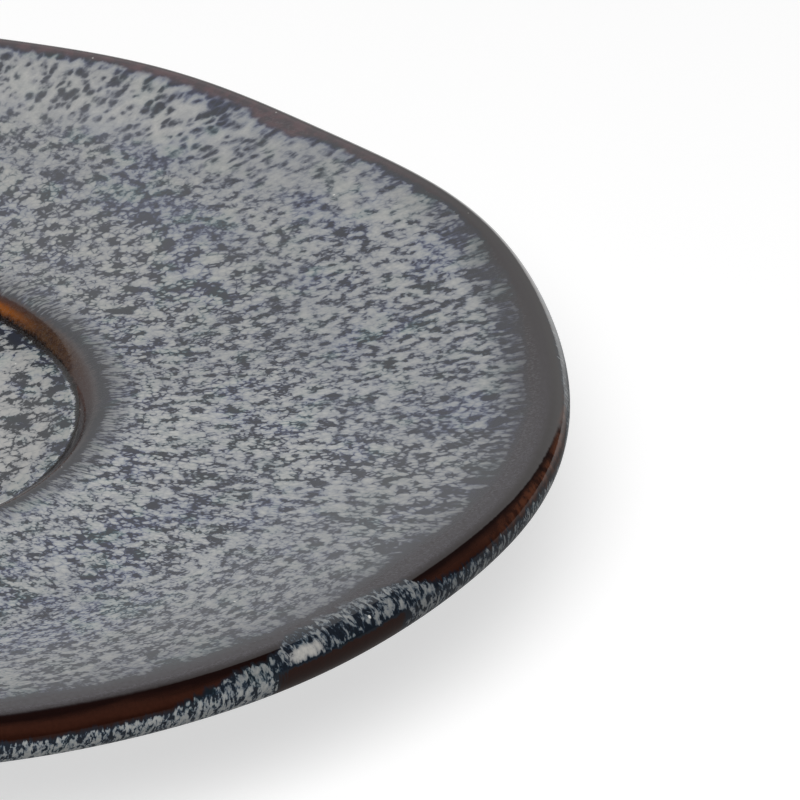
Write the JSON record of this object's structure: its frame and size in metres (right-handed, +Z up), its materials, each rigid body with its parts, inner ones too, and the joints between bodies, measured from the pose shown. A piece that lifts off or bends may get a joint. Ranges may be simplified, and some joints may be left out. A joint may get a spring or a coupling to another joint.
{
  "type": "saucer",
  "caption": "Round stoneware saucer with a sunk cup well, gently wavering rounded rim, bare foot ring and a glossy speckled grey-blue reactive glaze that breaks to brown.",
  "frame": {"origin": "centre of the foot ring's resting face, on the table", "axes": "+Z up along the turning axis, out of the cup well; +X and +Y lie in the table plane"},
  "size_m": [0.15, 0.15, 0.0168],
  "materials": {
    "bare_stoneware": "matt fired clay, left bare on the foot ring",
    "speckled_glaze": "glossy reactive glaze, pale grey flakes over dark navy and black",
    "brown_glaze": "glossy translucent brown where the glaze runs thin"
  },
  "bodies": {
    "root": {"clay_body": "bare_stoneware", "well_glaze": "speckled_glaze", "shoulder_glaze": "brown_glaze", "face_glaze": "speckled_glaze", "rim_glaze": "brown_glaze", "under_glaze": "speckled_glaze", "recess_glaze": "speckled_glaze"}
  },
  "joints": []
}
